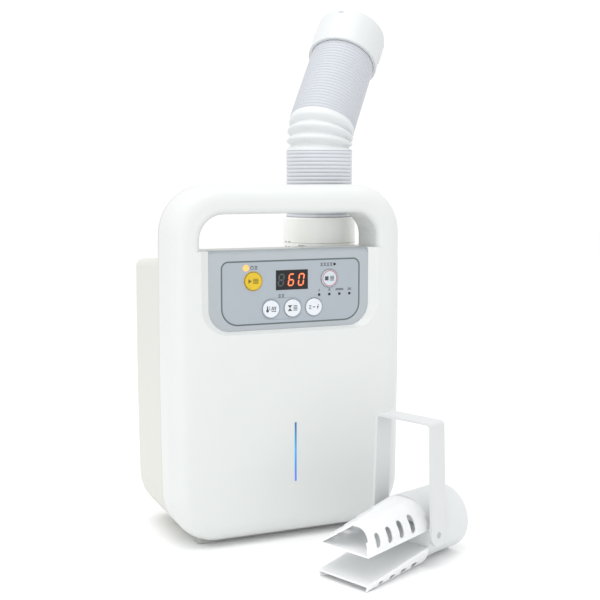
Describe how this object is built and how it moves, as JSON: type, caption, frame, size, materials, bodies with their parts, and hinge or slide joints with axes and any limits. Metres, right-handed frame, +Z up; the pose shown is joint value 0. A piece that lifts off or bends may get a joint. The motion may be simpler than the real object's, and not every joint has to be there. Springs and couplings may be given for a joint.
{
  "type": "boot and bedding dryer",
  "caption": "Upright warm-air dryer: slab case with a carrying handle and control panel, blower behind it, stay-put bellows hose, and a loose boot nozzle with a folding bail.",
  "frame": {"origin": "middle of the whole set's bounding box (dryer with its hose, and the nozzle lying in front), on the floor that the feet rest on", "axes": "+X to the dryer's right seen from its front, +Y from its front face to its back, +Z up"},
  "size_m": [0.2934, 0.3432, 0.5457],
  "materials": {
    "case_abs": "satin",
    "rear_abs": "satin",
    "panel_grey": "matte",
    "overlay_grey": "satin",
    "smoked_acrylic": "gloss",
    "button_white": "satin",
    "button_yellow": "satin",
    "lamp_orange": "gloss",
    "led_dark": "gloss",
    "light_guide": "clear",
    "hose_grey": "satin",
    "nozzle_pp": "satin",
    "foot_rubber": "matte",
    "board": "satin",
    "electronic": "matte",
    "blower_plastic": "matte",
    "impeller_plastic": "satin",
    "motor_steel": "brushed",
    "heater_alloy": "satin",
    "heat_plastic": "matte",
    "filter_mesh": "matte",
    "screw_steel": "plated"
  },
  "bodies": {
    "dryer": {"front_shell": "case_abs", "rear_shell": "rear_abs", "foot_strips": "foot_rubber", "case_screws": "screw_steel", "panel_bezel": "panel_grey", "membrane_overlay": "overlay_grey", "display_window": "smoked_acrylic", "display_module": "electronic", "indicator_leds": "led_dark", "power_lamp": "lamp_orange", "control_pcb": "board", "tact_switches": "electronic", "pcb_screws": "screw_steel", "light_guide": "light_guide", "light_pcb": "board", "partition_plate": "rear_abs", "power_pcb": "board", "power_parts": "electronic", "blower_case": "blower_plastic", "blower_cover": "blower_plastic", "blower_screws": "screw_steel", "fan_motor": "motor_steel", "heater_case": "heat_plastic", "ptc_heater": "heater_alloy", "thermal_fuse": "electronic", "outlet_duct": "heat_plastic", "cord_gland": "rear_abs", "collar_base": "case_abs"},
    "hose_base": {"collar_ring": "case_abs", "hose_lower": "hose_grey", "hose_bend": "hose_grey"},
    "hose_arm": {"hose_upper": "hose_grey"},
    "hose_end": {"hose_cap": "nozzle_pp"},
    "fan": {"impeller": "impeller_plastic"},
    "filter": {"filter_cover": "rear_abs", "air_filter": "filter_mesh"},
    "nozzle": {"nozzle_collar": "nozzle_pp", "upper_jaw": "nozzle_pp", "lower_jaw": "nozzle_pp", "bail_pins": "nozzle_pp"},
    "bail": {"bail": "nozzle_pp"},
    "start_button": {"start_button": "button_yellow"},
    "stop_button": {"stop_button": "button_white"},
    "temperature_button": {"temperature_button": "button_white"},
    "time_button": {"time_button": "button_white"},
    "mode_button": {"mode_button": "button_white"}
  },
  "joints": [
    {"name": "hose_swivel", "type": "hinge", "parent": "dryer", "child": "hose_base", "pos_m": [0.04633, 0.07617, 0.2932], "axis": [0, 0, 1], "range_deg": [-90, 90]},
    {"name": "hose_bend", "type": "hinge", "parent": "hose_base", "child": "hose_arm", "pos_m": [0.04633, 0.07617, 0.409], "axis": [-0.6756, 0.7373, 0], "range_deg": [-38, 12], "deforming": ["hose_bend"]},
    {"name": "hose_extend", "type": "slide", "parent": "hose_arm", "child": "hose_end", "axis": [0.462, 0.4233, 0.7793], "range_m": [0, 0.15]},
    {"name": "impeller_spin", "type": "hinge", "parent": "dryer", "child": "fan", "pos_m": [-0.01167, 0.07517, 0.105], "axis": [0, 1, 0], "continuous": true},
    {"name": "filter_pull", "type": "slide", "parent": "dryer", "child": "filter", "axis": [0, 1, 0], "range_m": [0, 0.06]},
    {"name": "nozzle_lift", "type": "slide", "parent": "dryer", "child": "nozzle", "axis": [0, 0, 1], "range_m": [0, 0.2]},
    {"name": "bail_fold", "type": "hinge", "parent": "nozzle", "child": "bail", "pos_m": [0.05663, -0.10937, 0.032], "axis": [-0.3746, 0.9272, 0], "range_deg": [-90, 90]},
    {"name": "start_press", "type": "slide", "parent": "dryer", "child": "start_button", "axis": [0, 1, 0], "range_m": [0, 0.0008], "stiffness_N_per_m": 400},
    {"name": "stop_press", "type": "slide", "parent": "dryer", "child": "stop_button", "axis": [0, 1, 0], "range_m": [0, 0.0008], "stiffness_N_per_m": 400},
    {"name": "temperature_press", "type": "slide", "parent": "dryer", "child": "temperature_button", "axis": [0, 1, 0], "range_m": [0, 0.0008], "stiffness_N_per_m": 400},
    {"name": "time_press", "type": "slide", "parent": "dryer", "child": "time_button", "axis": [0, 1, 0], "range_m": [0, 0.0008], "stiffness_N_per_m": 400},
    {"name": "mode_press", "type": "slide", "parent": "dryer", "child": "mode_button", "axis": [0, 1, 0], "range_m": [0, 0.0008], "stiffness_N_per_m": 400}
  ]
}
